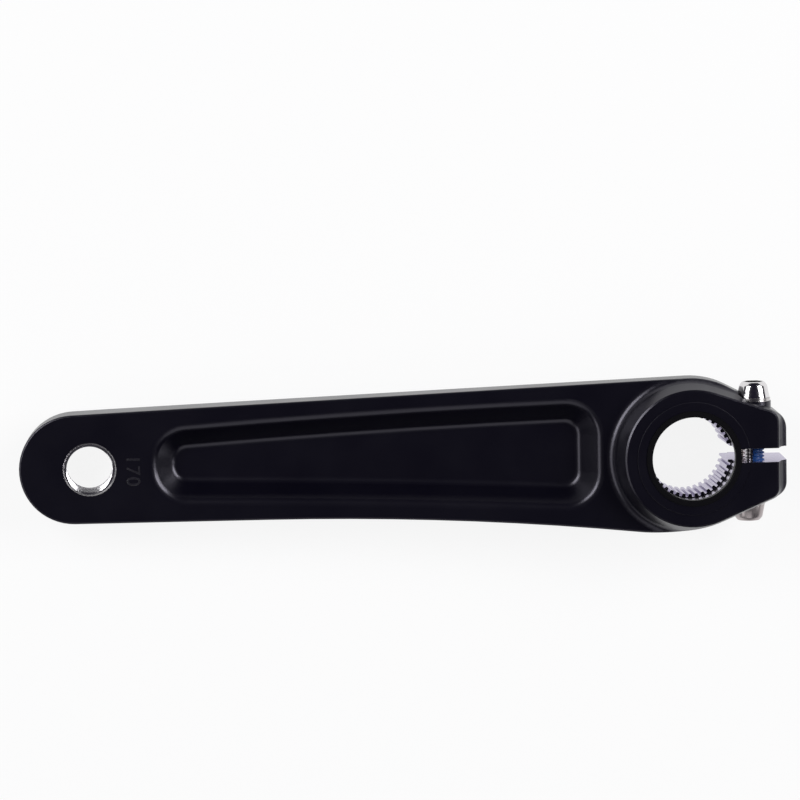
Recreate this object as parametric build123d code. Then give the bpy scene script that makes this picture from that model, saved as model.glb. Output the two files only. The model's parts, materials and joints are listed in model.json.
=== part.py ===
from build123d import *
import math
import os

# Left crank arm of a bicycle, lying on its outer side with the inner face up.
# The spindle axis is Z, the pedal eye lies at -X, and the origin is half way along the splines.

# Crank length and pedal eye
CRANK_LENGTH = 170.0
PEDAL_END_RADIUS = 15.5
PEDAL_END_OVERHANG = 4.6
PEDAL_END_THICKNESS = 12.0
PEDAL_THREAD_RADIUS = 7.14
PEDAL_CHAMFER = 0.4
PEDAL_RIM_CHAMFER = 0.8

# Spindle bore, from the tooth tips outward
SPLINE_COUNT = 40
SPLINE_TIP_RADIUS = 11.05
SPLINE_DEPTH = 0.85
SPLINE_TIP_SHARE = 0.42
SPLINE_ROOT_SHARE = 0.32
SPLINE_LENGTH = 16.0
RELIEF_STEP = 0.3
RELIEF_DEPTH = 8.6
CAP_SEAT_STEP = 1.7
CAP_SEAT_DEPTH = 1.4

# Seal ring in the mouth of the bore
SEAL_LIP = 0.4
SEAL_WIDTH = 1.7
SEAL_HEIGHT = 2.4
SEAL_PROUD = 0.2
SEAL_CHAMFER = 0.3
SEAL_CLEARANCE = 0.05

# Boss and clamp face
SPIGOT_WALL = 2.55
SPIGOT_HEIGHT = 0.25
SPIGOT_CHAMFER = 0.12
BOSS_LAND = 3.3
BOSS_END_LAND = 6.1
BOSS_UPPER_SLOPE = 19.0
BOSS_CORNER_RADIUS = 3.0
BOSS_CHAMFER = 0.35
BOSS_FOOT_DEPTH = 7.3
BOSS_FLANK_ANGLE = 20.0
BOSS_COVE_RADIUS = 2.8

# Plan outline of the forging
SHOULDER_LAND = 2.9
UPPER_JAW_SLOPE = 28.0
LOWER_JAW_LAND = 0.85
LOWER_JAW_SLOPE = 23.0
JAW_END_LAND = 9.2
UPPER_CORNER_RADIUS = 5.5
LOWER_CORNER_RADIUS = 4.0
HEEL_RADIUS = 50.0
HEEL_RUN = 2.4
BELLY_ANGLE = 6.4

# Outer side
HUB_WALL = 2.2
HUB_STEP = 4.0
HUB_DRAFT = 15.0
HUB_FOOT_BEVEL = 1.0
HUB_CHAMFER = 0.5
CROWN_RADIUS = 34.0
CROWN_RUN_OUT = 12.0
OUTER_EDGE_RADIUS = 1.0
INNER_EDGE_RADIUS = 0.6

# Pocket in the inner face
POCKET_DEPTH = 6.0
POCKET_WALL_ANGLE = 42.0
POCKET_RIM_RADIUS = 3.0
POCKET_FLOOR_RADIUS = 2.6
POCKET_PEDAL_GAP = 18.0
POCKET_FOOT_LAND = 3.94
POCKET_END_TOP = 10.4
POCKET_END_LOW = 9.4
POCKET_MID_TOP = 14.05
POCKET_MID_LOW = 11.1
POCKET_BOSS_TOP = 16.2
POCKET_BOSS_LOW = 14.2
POCKET_CORNER_SHARE = 0.965

# Slit and clamp bolts
SLIT_WIDTH = 3.9
SLIT_OFFSET = 0.48
BOLT_BORE_GAP = 1.4
BOLT_DEPTH = 6.5
BOLT_SPACING = 10.0
BOLT_RADIUS = 3.0
BOLT_LENGTH = 22.0
BOLT_HEAD_RADIUS = 4.65
BOLT_HEAD_WAIST_RADIUS = 3.95
BOLT_HEAD_TOP_RADIUS = 3.2
BOLT_HEAD_HEIGHT = 4.5
BOLT_HEAD_CONE_HEIGHT = 3.5
BOLT_SOCKET_WIDTH = 5.0
BOLT_SOCKET_DEPTH = 2.8
BOLT_TIP_CHAMFER = 0.6
BOLT_CLEARANCE = 0.3
BOLT_THREAD_CLEARANCE = 0.05
BOLT_TIP_ROOM = 1.0
SEAT_INSET = 4.4
SEAT_PAD_RADIUS = 4.95
SEAT_CUT_RADIUS = 5.25
WASHER_RADIUS = 4.75
WASHER_THICKNESS = 0.9

# Radii round the spindle axis that follow from the sizes above
SPLINE_ROOT_RADIUS = SPLINE_TIP_RADIUS + SPLINE_DEPTH
RELIEF_RADIUS = SPLINE_ROOT_RADIUS + RELIEF_STEP
CAP_SEAT_RADIUS = SPLINE_ROOT_RADIUS + CAP_SEAT_STEP
SEAL_INNER_RADIUS = RELIEF_RADIUS - SEAL_LIP
SEAL_OUTER_RADIUS = SEAL_INNER_RADIUS + SEAL_WIDTH
SEAL_SEAT_RADIUS = SEAL_OUTER_RADIUS + SEAL_CLEARANCE
SPIGOT_RADIUS = SEAL_SEAT_RADIUS + SPIGOT_WALL
BOSS_RADIUS = SPIGOT_RADIUS + BOSS_LAND
SHOULDER_RADIUS = BOSS_RADIUS + SHOULDER_LAND
LOWER_JAW_DISTANCE = BOSS_RADIUS + LOWER_JAW_LAND
HUB_RADIUS = CAP_SEAT_RADIUS + HUB_WALL

# Levels and positions
OUTER_Z = -(CAP_SEAT_DEPTH + SPLINE_LENGTH / 2)
SHOULDER_Z = SPLINE_LENGTH / 2
BOSS_Z = SHOULDER_Z + RELIEF_DEPTH
SPIGOT_Z = BOSS_Z + SPIGOT_HEIGHT
SEAL_SEAT_Z = SPIGOT_Z + SEAL_PROUD - SEAL_HEIGHT
JAW_Z = OUTER_Z + HUB_STEP
PEDAL_X = -CRANK_LENGTH
PEDAL_END_X = PEDAL_X - PEDAL_END_OVERHANG
FLANK_SPREAD = math.tan(math.radians(BOSS_FLANK_ANGLE))
FOOT_X = -(BOSS_RADIUS + BOSS_FOOT_DEPTH * FLANK_SPREAD)
FOOT_Z = BOSS_Z - BOSS_FOOT_DEPTH
FACE_SLOPE = (FOOT_Z - OUTER_Z - PEDAL_END_THICKNESS) / (FOOT_X - PEDAL_X)
BOLT_AXIS_X = CAP_SEAT_RADIUS + BOLT_BORE_GAP + BOLT_RADIUS
BOSS_END_X = BOLT_AXIS_X + BOSS_END_LAND
JAW_END_X = BOLT_AXIS_X + JAW_END_LAND
UPPER_BOLT_Z = BOSS_Z - BOLT_DEPTH
LOWER_BOLT_Z = UPPER_BOLT_Z - BOLT_SPACING
SEAT_DISTANCE = BOSS_RADIUS - SEAT_INSET
HEAD_BASE = SEAT_DISTANCE + WASHER_THICKNESS
BOLT_TIP = HEAD_BASE - BOLT_LENGTH
REACH = SHOULDER_RADIUS + JAW_END_X
FLAT = 0.001

# The inner face, and one frame for each bolt: local Z runs from the slit out through the head
INNER_FACE = Plane(
    origin=(0, 0, FOOT_Z - FACE_SLOPE * FOOT_X), x_dir=(1, 0, FACE_SLOPE), z_dir=(-FACE_SLOPE, 0, 1)
)
UPPER_BOLT = Plane(origin=(BOLT_AXIS_X, SLIT_OFFSET, UPPER_BOLT_Z), x_dir=(1, 0, 0), z_dir=(0, 1, 0))
LOWER_BOLT = Plane(origin=(BOLT_AXIS_X, SLIT_OFFSET, LOWER_BOLT_Z), x_dir=(1, 0, 0), z_dir=(0, -1, 0))


def face_height(x):
    """Height of the tilted inner face at one place along the arm."""
    return FOOT_Z + FACE_SLOPE * (x - FOOT_X)


def turned(distance, along, slope):
    """Place on a straight flank of that slope: a distance from the spindle axis, then a run along it."""
    angle = math.radians(slope)
    x = distance * math.sin(angle) + along * math.cos(angle)
    y = distance * math.cos(angle) - along * math.sin(angle)
    return x, y


def flank_end(distance, slope, end_x):
    """Place where a flank of that slope and distance from the spindle axis reaches the end face."""
    angle = math.radians(slope)
    return turned(distance, (end_x - distance * math.sin(angle)) / math.cos(angle), slope)


def mirrored(place):
    """The same place on the other side of the arm's length."""
    return place[0], -place[1]


def body_outline():
    """Plan outline of the forging: pedal end, upper edge, boss shoulder, jaws, heel and belly."""
    climb = math.degrees(math.asin((SHOULDER_RADIUS - PEDAL_END_RADIUS) / -PEDAL_END_X))
    edge_x, edge_y = turned(PEDAL_END_RADIUS, 0, -climb)
    pedal_top = (PEDAL_END_X + edge_x, edge_y)
    upper_edge = Line(pedal_top, turned(SHOULDER_RADIUS, 0, -climb))
    upper_touch = turned(SHOULDER_RADIUS, 0, UPPER_JAW_SLOPE)
    shoulder = ThreePointArc(upper_edge @ 1, turned(SHOULDER_RADIUS, 0, UPPER_JAW_SLOPE / 2), upper_touch)
    upper_corner = flank_end(SHOULDER_RADIUS, UPPER_JAW_SLOPE, JAW_END_X)
    lower_corner = mirrored(flank_end(LOWER_JAW_DISTANCE, LOWER_JAW_SLOPE, JAW_END_X))
    heel_start = mirrored(turned(LOWER_JAW_DISTANCE, HEEL_RUN, LOWER_JAW_SLOPE))
    jaws = Polyline(upper_touch, upper_corner, lower_corner, heel_start)
    angle = math.radians(LOWER_JAW_SLOPE)
    heel_turn = -(LOWER_JAW_SLOPE + BELLY_ANGLE)
    heel = JernArc(heel_start, (-math.cos(angle), -math.sin(angle)), HEEL_RADIUS, heel_turn)
    belly_drop = -(heel @ 1).Y - PEDAL_END_RADIUS
    belly_radius = belly_drop / (1 - math.cos(math.radians(BELLY_ANGLE)))
    belly = JernArc(heel @ 1, heel % 1, belly_radius, BELLY_ANGLE)
    lower_edge = Line(belly @ 1, (PEDAL_END_X, -PEDAL_END_RADIUS))
    pedal_end = ThreePointArc(lower_edge @ 1, (PEDAL_END_X - PEDAL_END_RADIUS, 0), pedal_top)
    outline = make_face(upper_edge + shoulder + jaws + heel + belly + lower_edge + pedal_end)
    corners = outline.vertices().filter_by(lambda v: v.X > JAW_END_X - FLAT).sort_by(Axis.Y)
    outline = fillet(corners[0], LOWER_CORNER_RADIUS)
    return fillet(outline.vertices().filter_by(lambda v: v.X > JAW_END_X - FLAT).sort_by(Axis.Y)[-1],
                  UPPER_CORNER_RADIUS)


def boss_outline():
    """Boss face: a round boss run out into the two jaws of the clamp."""
    upper_touch = turned(BOSS_RADIUS, 0, BOSS_UPPER_SLOPE)
    upper_corner = flank_end(BOSS_RADIUS, BOSS_UPPER_SLOPE, BOSS_END_X)
    lower_corner = mirrored(flank_end(BOSS_RADIUS, LOWER_JAW_SLOPE, BOSS_END_X))
    lower_touch = mirrored(turned(BOSS_RADIUS, 0, LOWER_JAW_SLOPE))
    jaws = Polyline(upper_touch, upper_corner, lower_corner, lower_touch)
    outline = make_face(jaws + ThreePointArc(lower_touch, (-BOSS_RADIUS, 0), upper_touch))
    corners = outline.vertices().filter_by(lambda v: v.X > BOSS_END_X - FLAT)
    return fillet(corners, BOSS_CORNER_RADIUS)


def pocket_outline():
    """Rim of the long pocket, drawn on the inner face: bowed sides and four round corners."""
    end_x = PEDAL_X + POCKET_PEDAL_GAP
    boss_x = FOOT_X - POCKET_FOOT_LAND
    mid_x = (end_x + boss_x) / 2
    top = ThreePointArc((end_x, POCKET_END_TOP), (mid_x, POCKET_MID_TOP), (boss_x, POCKET_BOSS_TOP))
    low = ThreePointArc((boss_x, -POCKET_BOSS_LOW), (mid_x, -POCKET_MID_LOW), (end_x, -POCKET_END_LOW))
    boss_side = Line((boss_x, POCKET_BOSS_TOP), (boss_x, -POCKET_BOSS_LOW))
    pedal_side = Line((end_x, -POCKET_END_LOW), (end_x, POCKET_END_TOP))
    outline = make_face(top + boss_side + low + pedal_side)
    corner_radius = POCKET_CORNER_SHARE * (POCKET_END_TOP + POCKET_END_LOW) / 2
    return offset(offset(outline, -corner_radius), corner_radius)


def spline_outline():
    """Splined bore: tooth tips on the small circle, flat roots at the large one, straight flanks between."""
    pitch = 2 * math.pi / SPLINE_COUNT
    tip_half = pitch * SPLINE_TIP_SHARE / 2
    root_half = pitch * SPLINE_ROOT_SHARE / 2

    def place(radius, angle):
        return radius * math.cos(angle), radius * math.sin(angle)

    edges = []
    for tooth in range(SPLINE_COUNT):
        tip = tooth * pitch
        root = tip + pitch / 2
        tip_end = place(SPLINE_TIP_RADIUS, tip + tip_half)
        edges.append(
            ThreePointArc(place(SPLINE_TIP_RADIUS, tip - tip_half), place(SPLINE_TIP_RADIUS, tip), tip_end)
        )
        edges += Polyline(
            tip_end,
            place(SPLINE_ROOT_RADIUS, root - root_half),
            place(SPLINE_ROOT_RADIUS, root + root_half),
            place(SPLINE_TIP_RADIUS, tip + pitch - tip_half),
        ).edges()
    return make_face(edges)


def rod(radius, start, length):
    """Round bar along Z from a start height."""
    return Pos(0, 0, start + length / 2) * Cylinder(radius, length)


def on_inner_face(spot):
    """Whether a place lies on the inner face."""
    return abs(spot.Z - face_height(spot.X)) < FLAT


def wall_edges(body, upper):
    """Edges that bound the side walls, along their upper or their lower side."""
    square = INNER_FACE.z_dir
    edges = []
    for wall in body.faces().filter_by(lambda face: abs(face.normal_at(face.center()).dot(square)) < FLAT):
        for edge in wall.edges():
            upright = abs((edge % 0.5).dot(square)) > 1 - FLAT
            above = (edge.center() - wall.center()).dot(square) > 0
            if not upright and above == upper:
                edges.append(edge)
    return edges


def make_forging():
    """Arm with its tilted inner face, coved boss, rolled outer face and broken edges."""
    far = PEDAL_X - REACH
    deep = OUTER_Z - REACH
    side_view = Polyline(
        (far, deep), (REACH, deep), (REACH, face_height(REACH)), (far, face_height(far)), close=True
    )
    body = extrude(Plane.XZ * make_face(side_view), REACH, both=True)
    boss_face = Pos(0, 0, BOSS_Z) * boss_outline()
    boss = extrude(boss_face, amount=BOSS_Z - JAW_Z, dir=(0, 0, -1), taper=-BOSS_FLANK_ANGLE)
    body += chamfer(boss.faces().sort_by(Axis.Z)[-1].edges(), BOSS_CHAMFER)
    foot = body.edges().filter_by(
        lambda edge: on_inner_face(edge @ 0.5)
        and abs((edge @ 0.5).X) < REACH - FLAT and abs((edge @ 0.5).Y) < REACH - FLAT
    )
    body = fillet(foot, BOSS_COVE_RADIUS)
    body &= extrude(INNER_FACE * body_outline(), REACH, both=True)
    body &= make_crown()
    body = fillet(wall_edges(body, False), OUTER_EDGE_RADIUS)
    body = fillet(wall_edges(body, True), INNER_EDGE_RADIUS)
    below = Box(2 * (CRANK_LENGTH + REACH), 2 * REACH, REACH, align=(Align.CENTER, Align.CENTER, Align.MAX))
    body -= Pos(0, 0, OUTER_Z) * below
    eye_face = body.faces().filter_by(GeomType.PLANE).sort_by(Axis.Z)[0]
    return chamfer(eye_face.edges().filter_by(lambda edge: edge.center().X < PEDAL_END_X), PEDAL_RIM_CHAMFER)


def make_crown():
    """Room above the rolled outer face: a long roll that sinks under the flat of the pedal eye."""
    run_out_x = PEDAL_X + CROWN_RUN_OUT
    dip = PEDAL_END_RADIUS ** 2 / (2 * CROWN_RADIUS)
    fall = (HUB_STEP + dip) / (JAW_END_X - run_out_x)
    start_z = JAW_Z + fall * (REACH - JAW_END_X)
    start = Plane(origin=(REACH, 0, start_z), x_dir=(0, -1, 0), z_dir=(-1, 0, -fall))
    half = SHOULDER_RADIUS + LOWER_JAW_LAND
    sag = CROWN_RADIUS - math.sqrt(CROWN_RADIUS ** 2 - half ** 2)
    roll = ThreePointArc((-half, sag), (0, 0), (half, sag))
    room = Polyline((half, sag), (half, REACH), (-half, REACH), (-half, sag))
    return extrude(start * make_face(roll + room), CRANK_LENGTH + 3 * REACH)


def add_hub(body):
    """Round hub on the outer side, in one plane with the outer face of the pedal eye."""
    height = HUB_STEP + SHOULDER_RADIUS ** 2 / (2 * CROWN_RADIUS)
    spread = math.tan(math.radians(HUB_DRAFT))
    hub = Pos(0, 0, OUTER_Z + height / 2) * Cone(HUB_RADIUS, HUB_RADIUS + height * spread, height)
    hub = chamfer(hub.faces().sort_by(Axis.Z)[0].edges(), HUB_CHAMFER)
    body += hub

    def on_foot(edge):
        spot = edge @ 0.4
        cone_radius = HUB_RADIUS + (spot.Z - OUTER_Z) * spread
        return abs(math.hypot(spot.X, spot.Y) - cone_radius) < FLAT and spot.Z > OUTER_Z + 2 * HUB_CHAMFER

    return chamfer(body.edges().filter_by(on_foot), HUB_FOOT_BEVEL)


def cut_pocket(body):
    """Long pocket with sloping walls, rounded at the rim and at the floor."""
    rim = INNER_FACE * pocket_outline()
    tool = extrude(rim, amount=POCKET_DEPTH, dir=-INNER_FACE.z_dir, taper=POCKET_WALL_ANGLE)
    floor = tool.faces().sort_by(lambda face: face.center().dot(INNER_FACE.z_dir))[0]
    body -= fillet(floor.edges(), POCKET_FLOOR_RADIUS)
    lip = body.edges().filter_by(
        lambda edge: on_inner_face(edge @ 0.5)
        and min(side.distance_to(edge @ 0.5) for side in rim.edges()) < FLAT
    )
    return fillet(lip, POCKET_RIM_RADIUS)


def cut_bore(body):
    """Spigot, seal seat, relief, splines and cap seat, all on the spindle axis."""
    spigot = rod(SPIGOT_RADIUS, SHOULDER_Z, SPIGOT_Z - SHOULDER_Z)
    body += chamfer(spigot.faces().sort_by(Axis.Z)[-1].edges(), SPIGOT_CHAMFER)
    body -= rod(SEAL_SEAT_RADIUS, SEAL_SEAT_Z, SEAL_HEIGHT)
    body -= rod(RELIEF_RADIUS, SHOULDER_Z, RELIEF_DEPTH)
    body -= extrude(Pos(0, 0, -SHOULDER_Z) * spline_outline(), SPLINE_LENGTH)
    return body - rod(CAP_SEAT_RADIUS, OUTER_Z, CAP_SEAT_DEPTH)


def cut_clamp(body):
    """Bolt pads, slit, bolt holes and spot faces of the split clamp."""
    for bolt in (UPPER_BOLT, LOWER_BOLT):
        body += bolt * rod(SEAT_PAD_RADIUS, SLIT_WIDTH, SEAT_DISTANCE - SLIT_WIDTH)
    thread_depth = BOLT_TIP_ROOM - BOLT_TIP
    for bolt in (UPPER_BOLT, LOWER_BOLT):
        body -= bolt * rod(SEAT_CUT_RADIUS, SEAT_DISTANCE, SHOULDER_RADIUS)
        body -= bolt * rod(BOLT_RADIUS + BOLT_CLEARANCE, 0, SEAT_DISTANCE)
        body -= bolt * rod(BOLT_RADIUS + BOLT_THREAD_CLEARANCE, -thread_depth, thread_depth)
    slit = Box(JAW_END_X, SLIT_WIDTH, SPIGOT_Z - OUTER_Z, align=(Align.MIN, Align.CENTER, Align.MIN))
    return body - Pos(SPLINE_TIP_RADIUS / 2, SLIT_OFFSET, OUTER_Z) * slit


def cut_pedal_eye(body):
    """Pedal hole at the thread's major diameter, with a chamfer on both faces."""
    body -= Pos(PEDAL_X, 0, OUTER_Z) * Cylinder(PEDAL_THREAD_RADIUS, 4 * PEDAL_END_THICKNESS)
    mouths = body.edges().filter_by(
        lambda edge: edge.is_closed
        and abs(math.hypot((edge @ 0.3).X - PEDAL_X, (edge @ 0.3).Y) - PEDAL_THREAD_RADIUS) < FLAT
    )
    return chamfer(mouths, PEDAL_CHAMFER)


def make_seal():
    """Seal ring with a chamfered lip, resting on the seat in the bore's mouth."""
    section = Polyline(
        (SEAL_INNER_RADIUS, 0),
        (SEAL_OUTER_RADIUS, 0),
        (SEAL_OUTER_RADIUS, SEAL_HEIGHT),
        (SEAL_INNER_RADIUS + SEAL_CHAMFER, SEAL_HEIGHT),
        (SEAL_INNER_RADIUS, SEAL_HEIGHT - SEAL_CHAMFER),
        close=True,
    )
    return Pos(0, 0, SEAL_SEAT_Z) * revolve(Plane.XZ * make_face(section), Axis.Z)


def make_bolt():
    """Socket bolt with a conical head, its shank at the thread's major diameter."""
    waist = HEAD_BASE + BOLT_HEAD_CONE_HEIGHT
    top = HEAD_BASE + BOLT_HEAD_HEIGHT
    section = Polyline(
        (0, BOLT_TIP),
        (BOLT_RADIUS - BOLT_TIP_CHAMFER, BOLT_TIP),
        (BOLT_RADIUS, BOLT_TIP + BOLT_TIP_CHAMFER),
        (BOLT_RADIUS, HEAD_BASE),
        (BOLT_HEAD_RADIUS, HEAD_BASE),
        (BOLT_HEAD_WAIST_RADIUS, waist),
        (BOLT_HEAD_TOP_RADIUS, top),
        (0, top),
        close=True,
    )
    bolt = revolve(Plane.XZ * make_face(section), Axis.Z)
    socket = Pos(0, 0, top) * RegularPolygon(BOLT_SOCKET_WIDTH / 2, 6, major_radius=False)
    return bolt - extrude(socket, BOLT_SOCKET_DEPTH, dir=(0, 0, -1))


def make_washer():
    """Plain washer on the spot face, under the bolt head."""
    ring = rod(WASHER_RADIUS, SEAT_DISTANCE, WASHER_THICKNESS)
    return ring - rod(BOLT_RADIUS + BOLT_CLEARANCE, SEAT_DISTANCE, WASHER_THICKNESS)


crank_arm = cut_pedal_eye(cut_clamp(cut_bore(cut_pocket(add_hub(make_forging())))))
nodes = {
    "crank_arm": crank_arm,
    "spindle_seal_ring": make_seal(),
    "clamp_bolt_upper": UPPER_BOLT * make_bolt(),
    "clamp_bolt_lower": LOWER_BOLT * make_bolt(),
    "clamp_washer_upper": UPPER_BOLT * make_washer(),
    "clamp_washer_lower": LOWER_BOLT * make_washer(),
}

os.makedirs("parts", exist_ok=True)
for name, shape in nodes.items():
    export_step(shape, f"parts/{name}.step")
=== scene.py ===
"""Looks of a left bicycle crank arm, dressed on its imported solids.

The arm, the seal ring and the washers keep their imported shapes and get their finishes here. The clamp bolts
are built again with their rolled threads, the pedal hole gets its thread, and the arm its stamped length
number.
"""

import json
import logging
import math
from dataclasses import dataclass
from enum import Enum
from typing import Any, Optional, Union

import bmesh
import bpy
from mathutils import Matrix, Quaternion, Vector

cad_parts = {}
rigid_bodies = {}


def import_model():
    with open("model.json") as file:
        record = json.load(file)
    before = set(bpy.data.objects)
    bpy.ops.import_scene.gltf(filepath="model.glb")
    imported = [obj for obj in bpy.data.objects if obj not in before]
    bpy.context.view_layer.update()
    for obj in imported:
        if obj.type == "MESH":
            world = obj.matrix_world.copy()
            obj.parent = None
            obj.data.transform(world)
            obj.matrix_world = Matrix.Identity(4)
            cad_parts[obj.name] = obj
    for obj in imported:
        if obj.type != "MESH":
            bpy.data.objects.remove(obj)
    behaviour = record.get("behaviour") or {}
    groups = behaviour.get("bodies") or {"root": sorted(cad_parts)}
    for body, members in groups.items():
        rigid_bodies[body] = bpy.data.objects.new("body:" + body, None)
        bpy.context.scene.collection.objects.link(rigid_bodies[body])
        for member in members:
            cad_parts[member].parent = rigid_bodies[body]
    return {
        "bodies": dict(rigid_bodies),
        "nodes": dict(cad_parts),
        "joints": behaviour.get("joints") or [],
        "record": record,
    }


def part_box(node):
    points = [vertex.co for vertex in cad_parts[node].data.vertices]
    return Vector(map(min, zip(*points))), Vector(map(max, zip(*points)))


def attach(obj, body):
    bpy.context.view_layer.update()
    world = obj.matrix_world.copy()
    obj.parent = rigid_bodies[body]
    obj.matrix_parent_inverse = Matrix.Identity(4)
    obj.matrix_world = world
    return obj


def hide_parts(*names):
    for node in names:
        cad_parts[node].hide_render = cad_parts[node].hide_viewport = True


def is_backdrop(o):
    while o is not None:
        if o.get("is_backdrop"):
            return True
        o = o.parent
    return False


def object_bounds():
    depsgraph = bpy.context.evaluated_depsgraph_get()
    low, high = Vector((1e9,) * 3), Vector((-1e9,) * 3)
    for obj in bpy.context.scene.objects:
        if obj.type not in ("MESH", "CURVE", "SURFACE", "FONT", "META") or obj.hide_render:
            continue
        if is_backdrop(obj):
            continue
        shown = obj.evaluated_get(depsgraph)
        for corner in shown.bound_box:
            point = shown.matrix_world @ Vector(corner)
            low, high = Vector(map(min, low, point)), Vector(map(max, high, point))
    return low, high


MM = 0.001
PATTERN_MIDDLE = 0.5
BODY = "root"
Colour = tuple[float, float, float, float]

log = logging.getLogger("crank_arm")


class Node(Enum):
    """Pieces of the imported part."""

    ARM = "crank_arm"
    SEAL = "spindle_seal_ring"
    UPPER_BOLT = "clamp_bolt_upper"
    LOWER_BOLT = "clamp_bolt_lower"
    UPPER_WASHER = "clamp_washer_upper"
    LOWER_WASHER = "clamp_washer_lower"


class Slot(Enum):
    """Material slots of the record."""

    ARM = "arm_finish"
    BOLT = "bolt_plating"


class Interface(Enum):
    """Mounts of the record that carry a hole."""

    SPINDLE = "spindle_clamp"
    PEDAL = "pedal_thread"


class Hand(Enum):
    """Sense of a screw thread: the way it climbs for a turn to the left."""

    RIGHT = 1
    LEFT = -1


class HeadSide(Enum):
    """Side of the arm that a clamp bolt's head points to: along Y or against it."""

    UPPER = 1
    LOWER = -1


class Socket:
    """Output of a node that takes part in arithmetic: each operator adds one Math node."""

    def __init__(self, bench: "Bench", output: bpy.types.NodeSocket) -> None:
        """Keeps the bench that adds nodes and the output to link from."""
        self.bench = bench
        self.output = output

    def math(self, operation: str, first: "Value", second: "Value" = 0.0) -> "Socket":
        """Adds one Math node.

        Args:
            operation: Name of the Math node's operation.
            first: Left value of the operation.
            second: Right value, left out by operations on one value.

        Returns:
            The node's result.
        """
        node = self.bench.node("ShaderNodeMath", {"operation": operation}, {0: first, 1: second})
        return Socket(self.bench, node.outputs[0])

    def __add__(self, other: "Value") -> "Socket":
        """Sum."""
        return self.math("ADD", self, other)

    def __radd__(self, other: "Value") -> "Socket":
        """Sum with a number on the left."""
        return self.math("ADD", other, self)

    def __sub__(self, other: "Value") -> "Socket":
        """Difference."""
        return self.math("SUBTRACT", self, other)

    def __rsub__(self, other: "Value") -> "Socket":
        """Difference from a number on the left."""
        return self.math("SUBTRACT", other, self)

    def __mul__(self, other: "Value") -> "Socket":
        """Product, or both of two masks."""
        return self.math("MULTIPLY", self, other)

    def __rmul__(self, other: "Value") -> "Socket":
        """Product with a number on the left."""
        return self.math("MULTIPLY", other, self)

    def __lt__(self, other: "Value") -> "Socket":
        """Mask that is 1 where the value is smaller."""
        return self.math("LESS_THAN", self, other)

    def __gt__(self, other: "Value") -> "Socket":
        """Mask that is 1 where the value is larger."""
        return self.math("GREATER_THAN", self, other)

    def __or__(self, other: "Value") -> "Socket":
        """Either of two masks."""
        return self.math("MAXIMUM", self, other)

    def __abs__(self) -> "Socket":
        """Size without its sign."""
        return self.math("ABSOLUTE", self)

    def root(self) -> "Socket":
        """Square root."""
        return self.math("SQRT", self)

    def sine(self) -> "Socket":
        """Sine of an angle in radians."""
        return self.math("SINE", self)

    def swing(self, middle: "Value", variation: float) -> "Socket":
        """Value that varies about a middle as this pattern, from 0 to 1, does."""
        return middle + variation * (self - PATTERN_MIDDLE)


Value = Union[Socket, float]


class Bench:
    """Node tree of one material or of the world, with one way to add a node."""

    def __init__(self, tree: bpy.types.NodeTree) -> None:
        """Starts from an empty tree."""
        self.tree = tree
        tree.nodes.clear()

    def node(
        self, kind: str, settings: Optional[dict] = None, inputs: Optional[dict] = None
    ) -> bpy.types.Node:
        """Adds a node.

        Args:
            kind: Type name of the node.
            settings: Properties of the node, which are set first; "stops" holds a ramp's places and colours.
            inputs: Numbers, colours or sockets for its inputs, by name or index.

        Returns:
            The new node.
        """
        made = self.tree.nodes.new(kind)
        for name, value in (settings or {}).items():
            if name == "stops":
                for index, (position, colour) in enumerate(value):
                    stops = made.color_ramp.elements
                    stop = stops[index] if index < len(stops) else stops.new(position)
                    stop.position = position
                    stop.color = colour
            else:
                setattr(made, name, value)
        for name, value in (inputs or {}).items():
            if isinstance(value, Socket):
                self.tree.links.new(value.output, made.inputs[name])
            else:
                made.inputs[name].default_value = value
        return made

    def socket(self, node: bpy.types.Node, output: Union[str, int] = 0) -> Socket:
        """Wraps one output of a node."""
        return Socket(self, node.outputs[output])

    def place(self) -> Socket:
        """Place on the object, in metres from the spindle axis."""
        return self.socket(self.node("ShaderNodeTexCoord"), "Object")

    def split(self, vector: Socket) -> tuple[Socket, Socket, Socket]:
        """The three parts of a vector."""
        parts = self.node("ShaderNodeSeparateXYZ", inputs={0: vector})
        return self.socket(parts, 0), self.socket(parts, 1), self.socket(parts, 2)

    def noise(self, place: Socket, grain: float, detail: float = 3.0) -> Socket:
        """Cloudy noise.

        Args:
            place: Coordinates to read.
            grain: Size of one cloud, in metres.
            detail: Number of finer layers.

        Returns:
            Noise from 0 to 1.
        """
        inputs = {"Vector": place, "Scale": 1 / grain, "Detail": detail}
        made = self.node("ShaderNodeTexNoise", {"noise_dimensions": "3D"}, inputs)
        return self.socket(made, "Fac")

    def blend(self, share: Value, first: Union[Socket, Colour], second: Union[Socket, Colour]) -> Socket:
        """Mixes two colours.

        Args:
            share: Share of the second colour.
            first: Colour at share 0.
            second: Colour at share 1.

        Returns:
            The mixed colour.
        """
        mix = self.node("ShaderNodeMix", {"data_type": "RGBA"}, {0: share, 6: first, 7: second})
        return self.socket(mix, 2)

    def bump(self, height: Socket, strength: float, distance: float) -> Socket:
        """Normal of a surface with fine relief.

        Args:
            height: Relief from 0 to 1.
            strength: How much of it shows.
            distance: Depth of the relief, in metres.

        Returns:
            The normal.
        """
        inputs = {"Strength": strength, "Distance": distance, "Height": height}
        return self.socket(self.node("ShaderNodeBump", inputs=inputs), "Normal")

    def surface(self, shader: bpy.types.Node) -> None:
        """Shows a shader on the surface."""
        self.node("ShaderNodeOutputMaterial", inputs={"Surface": self.socket(shader)})


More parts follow.
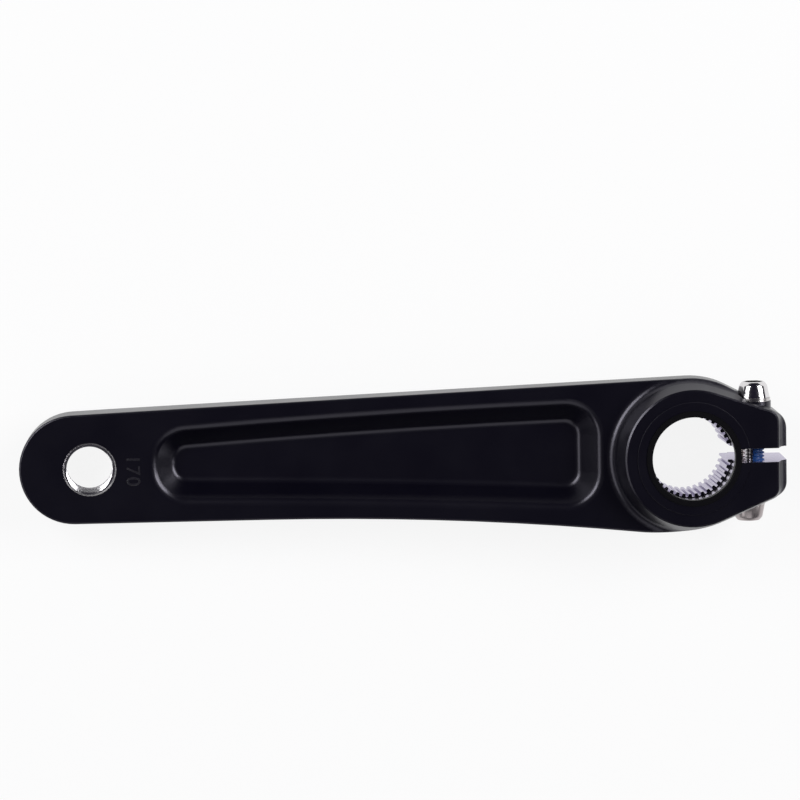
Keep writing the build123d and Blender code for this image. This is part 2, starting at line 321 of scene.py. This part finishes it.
@dataclass(frozen=True)
class Hole:
    """Hole of the part, as one of the record's mounts gives it; metres."""

    centre: Vector
    radius: float
    length: float

    @classmethod
    def find(cls, frame: dict, interface: Interface) -> "Hole":
        """Finds the hole of a mount.

        Args:
            interface: The mount.

        Returns:
            The hole.
        """
        mount = next(row for row in frame["record"]["mounts"] if row["name"] == interface.value)
        return cls(Vector(mount["pos_m"]), mount["dims"]["r_mm"] * MM, mount["dims"]["length_mm"] * MM)


@dataclass(frozen=True)
class BareZones:
    """Places on the arm that were machined after painting and show bare metal; metres."""

    spindle: Hole
    pedal: Hole
    bore_step: float = 1.25 * MM
    bore_top: float = 14.6 * MM
    shoulder_film: float = 0.05 * MM
    slit_offset: float = 0.48 * MM
    slit_half_width: float = 1.97 * MM
    slit_start: float = 11.0 * MM
    pedal_rim: float = 0.42 * MM

    def mask(self, bench: Bench, place: Socket) -> Socket:
        """Where the metal is bare.

        Args:
            bench: Node tree to add to.
            place: Place on the object, in metres.

        Returns:
            Mask that is 1 on bare metal.
        """
        x, y, z = bench.split(place)
        from_spindle = (x * x + y * y).root()
        on_shoulder = abs(z - self.spindle.length / 2) < self.shoulder_film
        bore = (from_spindle < self.spindle.radius + self.bore_step) * (z < self.bore_top) * (1 - on_shoulder)
        slit = (abs(y - self.slit_offset) < self.slit_half_width) * (x > self.slit_start)
        along = x - self.pedal.centre.x
        pedal = (along * along + y * y).root() < self.pedal.radius + self.pedal_rim
        return bore | slit | pedal


@dataclass(frozen=True)
class Finish:
    """Finish of a piece: one Principled shader, whose sockets each kind of finish fills."""

    name: str

    def sockets(self, bench: Bench) -> dict[str, Any]:
        """Numbers, colours and links for the shader's sockets, by name."""
        raise NotImplementedError

    def make(self) -> bpy.types.Material:
        """Builds the material.

        Returns:
            The finish, ready for a piece.
        """
        material = bpy.data.materials.new(self.name)
        material.use_nodes = True
        bench = Bench(material.node_tree)
        bench.surface(bench.node("ShaderNodeBsdfPrincipled", inputs=self.sockets(bench)))
        return material


@dataclass(frozen=True, kw_only=True)
class ArmPaint(Finish):
    """Satin black paint with a violet cast over forged aluminium, bare where the arm was machined."""

    zones: BareZones
    name: str = "satin_black_paint"
    paint: Colour = (0.0008, 0.0006, 0.0028, 1.0)
    paint_worn: Colour = (0.0016, 0.0014, 0.0040, 1.0)
    sheen: Colour = (0.88, 0.85, 1.0, 1.0)
    metal: Colour = (0.67, 0.66, 0.665, 1.0)
    metal_dull: Colour = (0.39, 0.38, 0.395, 1.0)
    paint_roughness: float = 0.295
    paint_variation: float = 0.08
    metal_roughness: float = 0.24
    metal_variation: float = 0.22
    refraction: float = 1.5
    peel_grain: float = 0.55 * MM
    peel_depth: float = 0.012 * MM
    peel_share: float = 0.35
    cloud_grain: float = 14.0 * MM
    cut_grain: float = 0.16 * MM
    cut_detail: float = 1.0

    def sockets(self, bench: Bench) -> dict[str, Any]:
        """Fills the shader's sockets.

        Args:
            bench: Node tree to add to.

        Returns:
            Numbers, colours and links, by name.
        """
        place = bench.place()
        bare = self.zones.mask(bench, place)
        clouds = bench.noise(place, self.cloud_grain)
        peel = bench.noise(place, self.peel_grain)
        cuts = bench.noise(place, self.cut_grain, self.cut_detail)
        paint = bench.blend(clouds, self.paint, self.paint_worn)
        metal = bench.blend(cuts, self.metal_dull, self.metal)
        paint_gloss = clouds.swing(self.paint_roughness, self.paint_variation)
        metal_gloss = cuts.swing(self.metal_roughness, self.metal_variation)
        return {
            "Base Color": bench.blend(bare, paint, metal),
            "Metallic": bare,
            "Roughness": paint_gloss * (1 - bare) + metal_gloss * bare,
            "IOR": self.refraction,
            "Specular Tint": self.sheen,
            "Normal": bench.bump(peel, self.peel_share, self.peel_depth),
        }


@dataclass(frozen=True)
class GrainyFinish(Finish):
    """Finish with one grain in its colour, gloss and relief; metres."""

    colour_low: Colour
    colour_high: Colour
    roughness: float
    variation: float
    grain: float
    relief_depth: float
    relief_share: float
    metallic: float = 0.0
    specular: float = 0.5

    def sockets(self, bench: Bench) -> dict[str, Any]:
        """Fills the shader's sockets from one noise."""
        place = bench.place()
        return self.coat(bench, place, bench.noise(place, self.grain))

    def coat(self, bench: Bench, place: Socket, grain: Socket) -> dict[str, Any]:
        """Lays one finish all over the piece.

        Args:
            bench: Node tree to add to.
            place: Place on the object, in metres, which only a finish with zones reads.
            grain: Noise from 0 to 1.

        Returns:
            Numbers, colours and links, by name.
        """
        return {
            "Base Color": bench.blend(grain, self.colour_low, self.colour_high),
            "Metallic": self.metallic,
            "Roughness": grain.swing(self.roughness, self.variation),
            "Specular IOR Level": self.specular,
            "Normal": bench.bump(grain, self.relief_share, self.relief_depth),
        }


@dataclass(frozen=True)
class SealPlastic(GrainyFinish):
    """Matt black plastic of the seal ring, with fine moulded grain."""

    name: str = "matt_black_plastic"
    colour_low: Colour = (0.0012, 0.0011, 0.0018, 1.0)
    colour_high: Colour = (0.0024, 0.0022, 0.0032, 1.0)
    roughness: float = 0.42
    variation: float = 0.12
    grain: float = 0.22 * MM
    relief_depth: float = 0.010 * MM
    relief_share: float = 0.4
    specular: float = 0.12


@dataclass(frozen=True)
class CutThread(GrainyFinish):
    """Bare aluminium of the cut pedal thread."""

    name: str = "cut_aluminium"
    colour_low: Colour = (0.55, 0.54, 0.56, 1.0)
    colour_high: Colour = (0.78, 0.77, 0.79, 1.0)
    roughness: float = 0.22
    variation: float = 0.16
    grain: float = 0.25 * MM
    relief_depth: float = 0.008 * MM
    relief_share: float = 0.2
    metallic: float = 1.0


@dataclass(frozen=True)
class StampedPaint(GrainyFinish):
    """Paint in the stamped number, lighter and a little glossier than on the face round it."""

    name: str = "stamped_paint"
    colour_low: Colour = (0.0075, 0.0068, 0.0105, 1.0)
    colour_high: Colour = (0.0150, 0.0140, 0.0190, 1.0)
    roughness: float = 0.26
    variation: float = 0.10
    grain: float = 0.4 * MM
    relief_depth: float = 0.010 * MM
    relief_share: float = 0.3


@dataclass(frozen=True)
class BoltPlating(GrainyFinish):
    """Plating of a clamp bolt, dull as on the lower one, with its colours darkened as painted shade for that
    bolt on the shaded side.
    """

    name: str = "dull_plating_darkened_as_shade"
    # These colours are darker than the upper bolt's plating: painted shade for the lower bolt on the shaded
    # side.
    colour_low: Colour = (0.36, 0.32, 0.32, 1.0)
    colour_high: Colour = (0.52, 0.47, 0.47, 1.0)
    roughness: float = 0.34
    variation: float = 0.10
    grain: float = 0.9 * MM
    relief_depth: float = 0.010 * MM
    relief_share: float = 0.15
    metallic: float = 1.0


@dataclass(frozen=True, kw_only=True)
class LockedPlating(BoltPlating):
    """Bright plating of the upper clamp bolt, with a ragged patch of blue thread locker on its thread."""

    axis_x: float
    name: str = "bright_plating_with_locker"
    colour_low: Colour = (0.66, 0.64, 0.65, 1.0)
    colour_high: Colour = (0.80, 0.79, 0.80, 1.0)
    roughness: float = 0.13
    locker: Colour = (0.005, 0.030, 0.150, 1.0)
    locker_thin: Colour = (0.014, 0.075, 0.270, 1.0)
    locker_roughness: float = 0.42
    locker_start: float = -0.7 * MM
    locker_reach: float = 3.6 * MM
    ragged: float = 0.8 * MM

    def coat(self, bench: Bench, place: Socket, grain: Socket) -> dict[str, Any]:
        """Lays the thread locker over the plating.

        Args:
            bench: Node tree to add to.
            place: Place on the object, in metres.
            grain: Noise from 0 to 1.

        Returns:
            Numbers, colours and links, by name.
        """
        plating = super().coat(bench, place, grain)
        x, y, _ = bench.split(place)
        edge = grain.swing(x, self.ragged)
        patch = (edge > self.axis_x + self.locker_start) * (abs(y) < self.locker_reach)
        locker = bench.blend(grain, self.locker, self.locker_thin)
        return plating | {
            "Base Color": bench.blend(patch, plating["Base Color"], locker),
            "Metallic": 1 - patch,
            "Roughness": plating["Roughness"] * (1 - patch) + self.locker_roughness * patch,
        }


@dataclass(frozen=True)
class WasherSteel(Finish):
    """Plated steel of a washer, with fine turned rings round the bolt's axis; metres."""

    axis_x: float
    axis_z: float
    bright: Colour = (0.72, 0.70, 0.70, 1.0)
    dull: Colour = (0.50, 0.48, 0.48, 1.0)
    roughness: float = 0.28
    variation: float = 0.14
    ring_pitch: float = 0.14 * MM
    relief_depth: float = 0.008 * MM
    relief_share: float = 0.2

    def sockets(self, bench: Bench) -> dict[str, Any]:
        """Fills the shader's sockets.

        Args:
            bench: Node tree to add to.

        Returns:
            Numbers, colours and links, by name.
        """
        x, _, z = bench.split(bench.place())
        across = x - self.axis_x
        up = z - self.axis_z
        from_axis = (across * across + up * up).root()
        rings = 0.5 + 0.5 * (from_axis * (2 * math.pi / self.ring_pitch)).sine()
        return {
            "Base Color": bench.blend(rings, self.dull, self.bright),
            "Metallic": 1.0,
            "Roughness": rings.swing(self.roughness, self.variation),
            "Normal": bench.bump(rings, self.relief_share, self.relief_depth),
        }


@dataclass(frozen=True)
class Thread:
    """Screw thread, drawn as a closed ridge that winds round local Z; metres."""

    root_radius: float
    crest_radius: float
    pitch: float
    hand: Hand
    steps: int = 48
    foot_share: float = 0.86
    crest_share: float = 0.16
    spare_turns: int = 1

    def wind(self, start: float, end: float) -> bmesh.types.BMesh:
        """Winds the ridge past both ends and trims it square.

        Args:
            start: Lower end on local Z.
            end: Upper end on local Z.

        Returns:
            Mesh of the ridge, closed.
        """
        mesh = bmesh.new()
        foot = self.foot_share * self.pitch / 2
        crest = self.crest_share * self.pitch / 2
        low = start - self.spare_turns * self.pitch
        turns = math.ceil((end - start) / self.pitch) + 2 * self.spare_turns
        base = low if self.hand is Hand.RIGHT else low + turns * self.pitch
        corners = (
            mesh.verts.new((self.root_radius, 0, base - foot)),
            mesh.verts.new((self.crest_radius, 0, base - crest)),
            mesh.verts.new((self.crest_radius, 0, base + crest)),
            mesh.verts.new((self.root_radius, 0, base + foot)),
        )
        section = [mesh.edges.new((corners[i], corners[i - 1])) for i in range(len(corners))]
        climb = Vector((0, 0, self.hand.value * self.pitch / self.steps))
        bmesh.ops.spin(
            mesh, geom=list(corners) + section, cent=(0, 0, 0), axis=(0, 0, 1), dvec=climb,
            angle=2 * math.pi * turns, steps=turns * self.steps,
        )
        self.trim(mesh, Vector((0, 0, start)), Vector((0, 0, -1)))
        self.trim(mesh, Vector((0, 0, end)), Vector((0, 0, 1)))
        return mesh

    @staticmethod
    def trim(mesh: bmesh.types.BMesh, spot: Vector, outward: Vector) -> None:
        """Cuts away what lies outside a plane and closes the cut.

        Args:
            mesh: Mesh of the ridge.
            spot: A place on the plane.
            outward: The plane's normal, towards what is cut away.
        """
        everything = mesh.verts[:] + mesh.edges[:] + mesh.faces[:]
        bmesh.ops.bisect_plane(mesh, geom=everything, plane_co=spot, plane_no=outward, clear_outer=True)
        close(mesh)


def close(mesh: bmesh.types.BMesh) -> None:
    """Fills the open rims of a mesh and turns its faces outwards."""
    bmesh.ops.holes_fill(mesh, edges=[edge for edge in mesh.edges if edge.is_boundary], sides=0)
    bmesh.ops.recalc_face_normals(mesh, faces=mesh.faces[:])


def merge(mesh: bmesh.types.BMesh, gap: float) -> None:
    """Joins the vertices of a mesh that lie within a gap and turns its faces outwards."""
    bmesh.ops.remove_doubles(mesh, verts=mesh.verts[:], dist=gap)
    bmesh.ops.recalc_face_normals(mesh, faces=mesh.faces[:])


def add_to(mesh: bmesh.types.BMesh, other: bmesh.types.BMesh) -> None:
    """Adds another mesh to a mesh.

    Args:
        mesh: The mesh that grows.
        other: The mesh that is added, which is freed.
    """
    carrier = bpy.data.meshes.new("carrier")
    other.to_mesh(carrier)
    other.free()
    mesh.from_mesh(carrier)
    bpy.data.meshes.remove(carrier)


def show(
    mesh: bmesh.types.BMesh, name: str, material: bpy.types.Material, smooth_below: float = 32.0
) -> bpy.types.Object:
    """Makes an object of a finished mesh, with its place in the mesh.

    Args:
        mesh: The finished mesh, which is freed.
        name: Name of the piece.
        material: Its finish.
        smooth_below: Edges that turn less than this many degrees are shaded smooth.

    Returns:
        The object.
    """
    for face in mesh.faces:
        face.smooth = True
    for edge in mesh.edges:
        edge.smooth = edge.is_manifold and edge.calc_face_angle(0.0) < math.radians(smooth_below)
    data = bpy.data.meshes.new(name)
    mesh.to_mesh(data)
    mesh.free()
    data.materials.append(material)
    piece = bpy.data.objects.new(name, data)
    bpy.context.scene.collection.objects.link(piece)
    log.info("%s: %d faces", name, len(data.polygons))
    return piece


def dress(frame: dict, node: Node, finish: Finish) -> None:
    """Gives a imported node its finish.

    Args:
        node: The node.
        finish: Its finish.
    """
    frame["nodes"][node.value].material_slots[0].material = finish.make()
    log.info("%s: %s", node.value, finish.name)


def middle(node: Node) -> Vector:
    """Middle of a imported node's box."""
    low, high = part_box(node.value)
    return (low + high) / 2


def face_below(frame: dict, x: float, y: float) -> tuple[Vector, Vector]:
    """Finds the inner face of the arm under a place in plan.

    Args:
        x: Place along the arm, in metres.
        y: Place across the arm, in metres.

    Returns:
        The spot on the face and the face's normal there.
    """
    above = Vector((x, y, 2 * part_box(Node.ARM.value)[1].z))
    found, spot, normal, _ = frame["nodes"][Node.ARM.value].ray_cast(above, Vector((0, 0, -1)))
    if not found:
        raise ValueError(f"the arm has no face at {x}, {y}")
    return spot, normal


@dataclass
class ClampBolt:
    """Clamp bolt with a conical socket head and a rolled thread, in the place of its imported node; metres."""

    node: Node
    side: HeadSide
    plating: BoltPlating
    head_height: float = 4.5 * MM
    cone_height: float = 3.5 * MM
    waist_radius: float = 3.95 * MM
    top_radius: float = 3.2 * MM
    rim_radius: float = 3.0 * MM
    edge_radius: float = 0.28 * MM
    edge_turn: float = 12.0
    edge_segments: int = 3
    socket_width: float = 5.0 * MM
    socket_depth: float = 2.8 * MM
    socket_sides: int = 6
    pitch: float = 1.0 * MM
    thread_depth: float = 0.58 * MM
    thread_sunk: float = 0.05 * MM
    shank_radius: float = 3.0 * MM
    tip_chamfer: float = 0.6 * MM
    merge_gap: float = 0.001 * MM
    steps: int = 48

    def build(self) -> bpy.types.Object:
        """Builds the bolt.

        Returns:
            The bolt, riding on the part and standing for its node.
        """
        low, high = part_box(self.node.value)
        length = high.y - low.y
        outward = self.side.value
        tip_y = low.y if self.side is HeadSide.UPPER else high.y
        core = self.shank_radius - self.thread_depth
        mesh = self.turn(length, core, (high.x - low.x) / 2)
        self.cut_socket(mesh, length)
        thread = Thread(core - self.thread_sunk, self.shank_radius, self.pitch, Hand.RIGHT, self.steps)
        add_to(mesh, thread.wind(self.tip_chamfer / 2, length - self.head_height + self.edge_radius))
        place = Matrix((
            (1, 0, 0, (low.x + high.x) / 2),
            (0, 0, outward, tip_y),
            (0, -outward, 0, (low.z + high.z) / 2),
            (0, 0, 0, 1),
        ))
        bmesh.ops.transform(mesh, matrix=place, verts=mesh.verts[:])
        piece = show(mesh, self.node.value + "_threaded", self.plating.make())
        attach(piece, BODY)
        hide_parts(self.node.value)
        return piece

    def turn(self, length: float, core: float, head_radius: float) -> bmesh.types.BMesh:
        """Turns the core and the head from one profile and rounds the edges of the head.

        Args:
            length: Whole length of the bolt.
            core: Radius at the thread's root.
            head_radius: Radius under the head.

        Returns:
            Mesh of the turned bolt, open at the socket's rim.
        """
        mesh = bmesh.new()
        base = length - self.head_height
        profile = (
            (0, 0), (core - self.tip_chamfer / 2, 0), (core, self.tip_chamfer / 2), (core, base),
            (head_radius, base), (self.waist_radius, base + self.cone_height),
            (self.top_radius, length), (self.rim_radius, length),
        )
        corners = [mesh.verts.new((radius, 0, height)) for radius, height in profile]
        line = [mesh.edges.new(pair) for pair in zip(corners, corners[1:])]
        bmesh.ops.spin(
            mesh, geom=corners + line, cent=(0, 0, 0), axis=(0, 0, 1), angle=2 * math.pi,
            steps=self.steps, use_merge=True,
        )
        merge(mesh, self.merge_gap)
        rounded = [
            edge for edge in mesh.edges
            if edge.is_manifold and edge.calc_face_angle(0.0) > math.radians(self.edge_turn)
            and min(vert.co.z for vert in edge.verts) > base - self.edge_radius
            and min(vert.co.xy.length for vert in edge.verts) > self.rim_radius
            and abs(edge.verts[0].co.z - edge.verts[1].co.z) < self.merge_gap
        ]
        bmesh.ops.bevel(
            mesh, geom=rounded, offset=self.edge_radius, offset_type="OFFSET", segments=self.edge_segments,
            profile=0.5, affect="EDGES", material=-1, clamp_overlap=True,
        )
        return mesh

    def cut_socket(self, mesh: bmesh.types.BMesh, top: float) -> None:
        """Sinks the hexagon socket into the open top of the head.

        Args:
            mesh: Mesh of the turned bolt.
            top: Height of the head's top.
        """
        rim = [edge for edge in mesh.edges if edge.is_boundary]
        mouth = bmesh.ops.extrude_edge_only(mesh, edges=rim)["geom"]
        flat = 2 * math.pi / self.socket_sides
        for vert in (item for item in mouth if isinstance(item, bmesh.types.BMVert)):
            around = math.atan2(vert.co.y, vert.co.x)
            radius = self.socket_width / 2 / math.cos(around % flat - flat / 2)
            vert.co = Vector((radius * math.cos(around), radius * math.sin(around), top))
        edges = [item for item in mouth if isinstance(item, bmesh.types.BMEdge)]
        floor = bmesh.ops.extrude_edge_only(mesh, edges=edges)["geom"]
        sunk = [item for item in floor if isinstance(item, bmesh.types.BMVert)]
        bmesh.ops.translate(mesh, verts=sunk, vec=(0, 0, -self.socket_depth))
        close(mesh)


@dataclass
class PedalThread:
    """Thread of the pedal hole: a left-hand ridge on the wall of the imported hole; metres.

    The face that trims the ridge is read face_reach radii of the hole from its axis.
    """

    hole: Hole
    pitch: float = 1.27 * MM
    depth: float = 0.61 * MM
    sunk: float = 0.05 * MM
    face_reach: float = 1.6
    finish: CutThread = CutThread()

    def build(self, frame: dict) -> bpy.types.Object:
        """Builds the thread and trims it level with the inner face beside the hole.


        Returns:
            The thread, riding on the part.
        """
        half = self.hole.length / 2
        centre = self.hole.centre
        _, normal = face_below(frame, centre.x, self.hole.radius * self.face_reach)
        radius = self.hole.radius
        thread = Thread(radius + self.sunk, radius - self.depth, self.pitch, Hand.LEFT)
        mesh = thread.wind(-half, half + self.pitch)
        bmesh.ops.translate(mesh, verts=mesh.verts[:], vec=centre)
        thread.trim(mesh, centre + Vector((0, 0, half)), normal)
        piece = show(mesh, "pedal_thread", self.finish.make())
        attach(piece, BODY)
        return piece


@dataclass
class LengthNumber:
    """Crank length in millimetres, stamped beside the pedal eye across the arm; metres."""

    pedal: Hole
    height: float = 3.9 * MM
    numeral_share: float = 0.7
    spacing: float = 1.12
    from_pedal: float = 12.1 * MM
    offset: float = -0.47 * MM
    relief: float = 0.10 * MM
    sunk: float = 0.02 * MM
    edge_share: float = 1 / 3
    edge_steps: int = 1
    curve_steps: int = 4
    merge_gap: float = 0.0005 * MM
    finish: StampedPaint = StampedPaint()

    def build(self, frame: dict) -> bpy.types.Object:
        """Builds the number on the inner face.


        Returns:
            The number, riding on the part.
        """
        spot, normal = face_below(frame, self.pedal.centre.x + self.from_pedal, self.offset)
        mesh = self.draw()
        lean = Vector((0, 0, 1)).rotation_difference(normal).to_matrix().to_4x4()
        level = spot + normal * (self.relief - self.sunk) / 2
        place = Matrix.Translation(level) @ lean @ Matrix.Rotation(-math.pi / 2, 4, "Z")
        bmesh.ops.transform(mesh, matrix=place, verts=mesh.verts[:])
        merge(mesh, self.merge_gap)
        piece = show(mesh, "length_number", self.finish.make())
        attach(piece, BODY)
        return piece

    def draw(self) -> bmesh.types.BMesh:
        """Draws the numerals as a mesh with broken edges, centred on the origin.

        Returns:
            Mesh of the numerals.
        """
        text = bpy.data.curves.new("length_number_text", "FONT")
        text.body = f"{-self.pedal.centre.x / MM:.0f}"
        text.size = self.height / self.numeral_share
        text.space_character = self.spacing
        text.align_x = "CENTER"
        text.align_y = "CENTER"
        text.extrude = (self.relief + self.sunk) / 2
        text.bevel_depth = self.relief * self.edge_share
        text.bevel_resolution = self.edge_steps
        text.resolution_u = self.curve_steps
        holder = bpy.data.objects.new("length_number_text", text)
        bpy.context.scene.collection.objects.link(holder)
        data = bpy.data.meshes.new_from_object(holder.evaluated_get(bpy.context.evaluated_depsgraph_get()))
        bpy.data.objects.remove(holder)
        mesh = bmesh.new()
        mesh.from_mesh(data)
        bpy.data.meshes.remove(data)
        return mesh


@dataclass(frozen=True)
class Lamp:
    """Soft lamp of the studio: its place round the arm, its size and its power in watts; metres."""

    name: str
    place: tuple[float, float, float]
    width: float
    height: float
    power: float

    def hang(self, target: Vector) -> None:
        """Hangs the lamp and turns it to the arm.

        Args:
            target: Place that the lamp looks at.
        """
        data = bpy.data.lights.new(self.name, "AREA")
        data.shape = "RECTANGLE"
        data.size = self.width
        data.size_y = self.height
        data.energy = self.power
        lamp = bpy.data.objects.new(self.name, data)
        lamp.location = self.place
        lamp.rotation_mode = "QUATERNION"
        lamp.rotation_quaternion = (target - Vector(self.place)).to_track_quat("-Z", "Y")
        bpy.context.scene.collection.objects.link(lamp)


@dataclass
class Studio:
    """White table under soft lamps at the left, right and front, with a dark room above; metres."""

    table_half: float = 8.0
    table_gap: float = 0.02 * MM
    table_colour: Colour = (0.67, 0.67, 0.68, 1.0)
    table_glow: float = 0.88
    white: Colour = (1.0, 1.0, 1.0, 1.0)
    ceiling: Colour = (0.012, 0.010, 0.020, 1.0)
    horizon_end: float = 0.0
    ceiling_start: float = 0.05
    backdrop_side: float = 0.45
    backdrop_top: float = 0.10
    lens: float = 180.03
    sensor_width: float = 36.0
    camera_place: tuple[float, float, float] = (-0.166197, 0.137397, 1.1266)
    camera_turn: tuple[float, float, float] = (0.105264, 0.075863, 0.022683)
    lamps: tuple[Lamp, ...] = (
        Lamp("left_lamp", (-0.78, 0.48, 0.66), 0.70, 0.42, 8.0),
        Lamp("left_fill", (-0.88, -0.12, 0.66), 1.00, 0.42, 3.2),
        Lamp("right_lamp", (0.68, 0.32, 0.58), 0.80, 0.42, 10.5),
        Lamp("front_lamp", (-0.08, -0.85, 0.80), 0.90, 0.80, 2.2),
    )

    def build(self, low: Vector, high: Vector) -> None:
        """Builds the studio round the arm.

        Args:
            low: Lowest corner of the part.
            high: Highest corner of the part.
        """
        self.lay_table(low.z - self.table_gap)
        self.paint_room()
        for lamp in self.lamps:
            lamp.hang((low + high) / 2)
        self.set_camera()
        bpy.context.scene.view_settings.view_transform = "Standard"

    def lay_table(self, level: float) -> None:
        """Lays the white table under the part.

        Args:
            level: Height of its top.
        """
        mesh = bmesh.new()
        bmesh.ops.create_grid(mesh, x_segments=1, y_segments=1, size=self.table_half)
        bmesh.ops.translate(mesh, verts=mesh.verts[:], vec=(0, 0, level))
        material = bpy.data.materials.new("white_table")
        material.use_nodes = True
        bench = Bench(material.node_tree)
        rays = bench.node("ShaderNodeLightPath")
        seen = bench.socket(rays, "Is Camera Ray") | bench.socket(rays, "Is Glossy Ray")
        seen = seen | bench.socket(rays, "Is Transmission Ray")
        matt = bench.node("ShaderNodeBsdfDiffuse", inputs={"Color": self.table_colour})
        glow = bench.node("ShaderNodeEmission", inputs={"Color": self.white, "Strength": 1.0})
        shares = {0: seen * self.table_glow, 1: bench.socket(matt), 2: bench.socket(glow)}
        bench.surface(bench.node("ShaderNodeMixShader", inputs=shares))
        show(mesh, "table", material)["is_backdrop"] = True

    def paint_room(self) -> None:
        """Paints the room: white at the horizon and on the backdrop behind the arm, dark above.

        The borders of its zones are parts of a direction of length 1.
        """
        world = bpy.data.worlds.new("studio_room")
        world.use_nodes = True
        bpy.context.scene.world = world
        bench = Bench(world.node_tree)
        direction = bench.socket(bench.node("ShaderNodeTexCoord"), "Generated")
        _, behind, up = bench.split(direction)
        stops = ((self.horizon_end, self.white), (self.ceiling_start, self.ceiling))
        ramp = bench.node("ShaderNodeValToRGB", {"stops": stops}, {"Fac": up})
        backdrop = (behind > self.backdrop_side) * (up < self.backdrop_top)
        room = bench.blend(backdrop, bench.socket(ramp), self.white)
        light = bench.node("ShaderNodeBackground", inputs={"Color": room, "Strength": 1.0})
        bench.node("ShaderNodeOutputWorld", inputs={"Surface": bench.socket(light)})

    def set_camera(self) -> None:
        """Sets the camera at the photograph's viewing angle.

        It is turned clockwise about camera_turn, whose length is the angle in radians.
        """
        data = bpy.data.cameras.new("camera")
        data.lens = self.lens
        data.sensor_width = self.sensor_width
        camera = bpy.data.objects.new("camera", data)
        turn = Vector(self.camera_turn)
        camera.location = self.camera_place
        camera.rotation_mode = "QUATERNION"
        camera.rotation_quaternion = Quaternion(turn.normalized(), -turn.length)
        bpy.context.scene.collection.objects.link(camera)
        bpy.context.scene.camera = camera


def main() -> None:
    """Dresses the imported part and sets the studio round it."""
    logging.basicConfig(level=logging.INFO, format="%(name)s: %(message)s")
    for thing in list(bpy.data.objects):
        bpy.data.objects.remove(thing)
    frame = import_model()
    cad_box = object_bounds()
    spindle = Hole.find(frame, Interface.SPINDLE)
    pedal = Hole.find(frame, Interface.PEDAL)
    dress(frame, Node.ARM, ArmPaint(zones=BareZones(spindle, pedal)))
    dress(frame, Node.SEAL, SealPlastic())
    for washer, bolt in ((Node.UPPER_WASHER, Node.UPPER_BOLT), (Node.LOWER_WASHER, Node.LOWER_BOLT)):
        axis = middle(bolt)
        dress(frame, washer, WasherSteel(washer.value + "_steel", axis.x, axis.z))
    ClampBolt(Node.UPPER_BOLT, HeadSide.UPPER, LockedPlating(axis_x=middle(Node.UPPER_BOLT).x)).build()
    # The lower bolt's plating carries painted shade: its colours are darker than the upper bolt's.
    ClampBolt(Node.LOWER_BOLT, HeadSide.LOWER, BoltPlating()).build()
    PedalThread(pedal).build(frame)
    LengthNumber(pedal).build(frame)
    Studio().build(*cad_box)


if __name__ == "__main__":
    main()
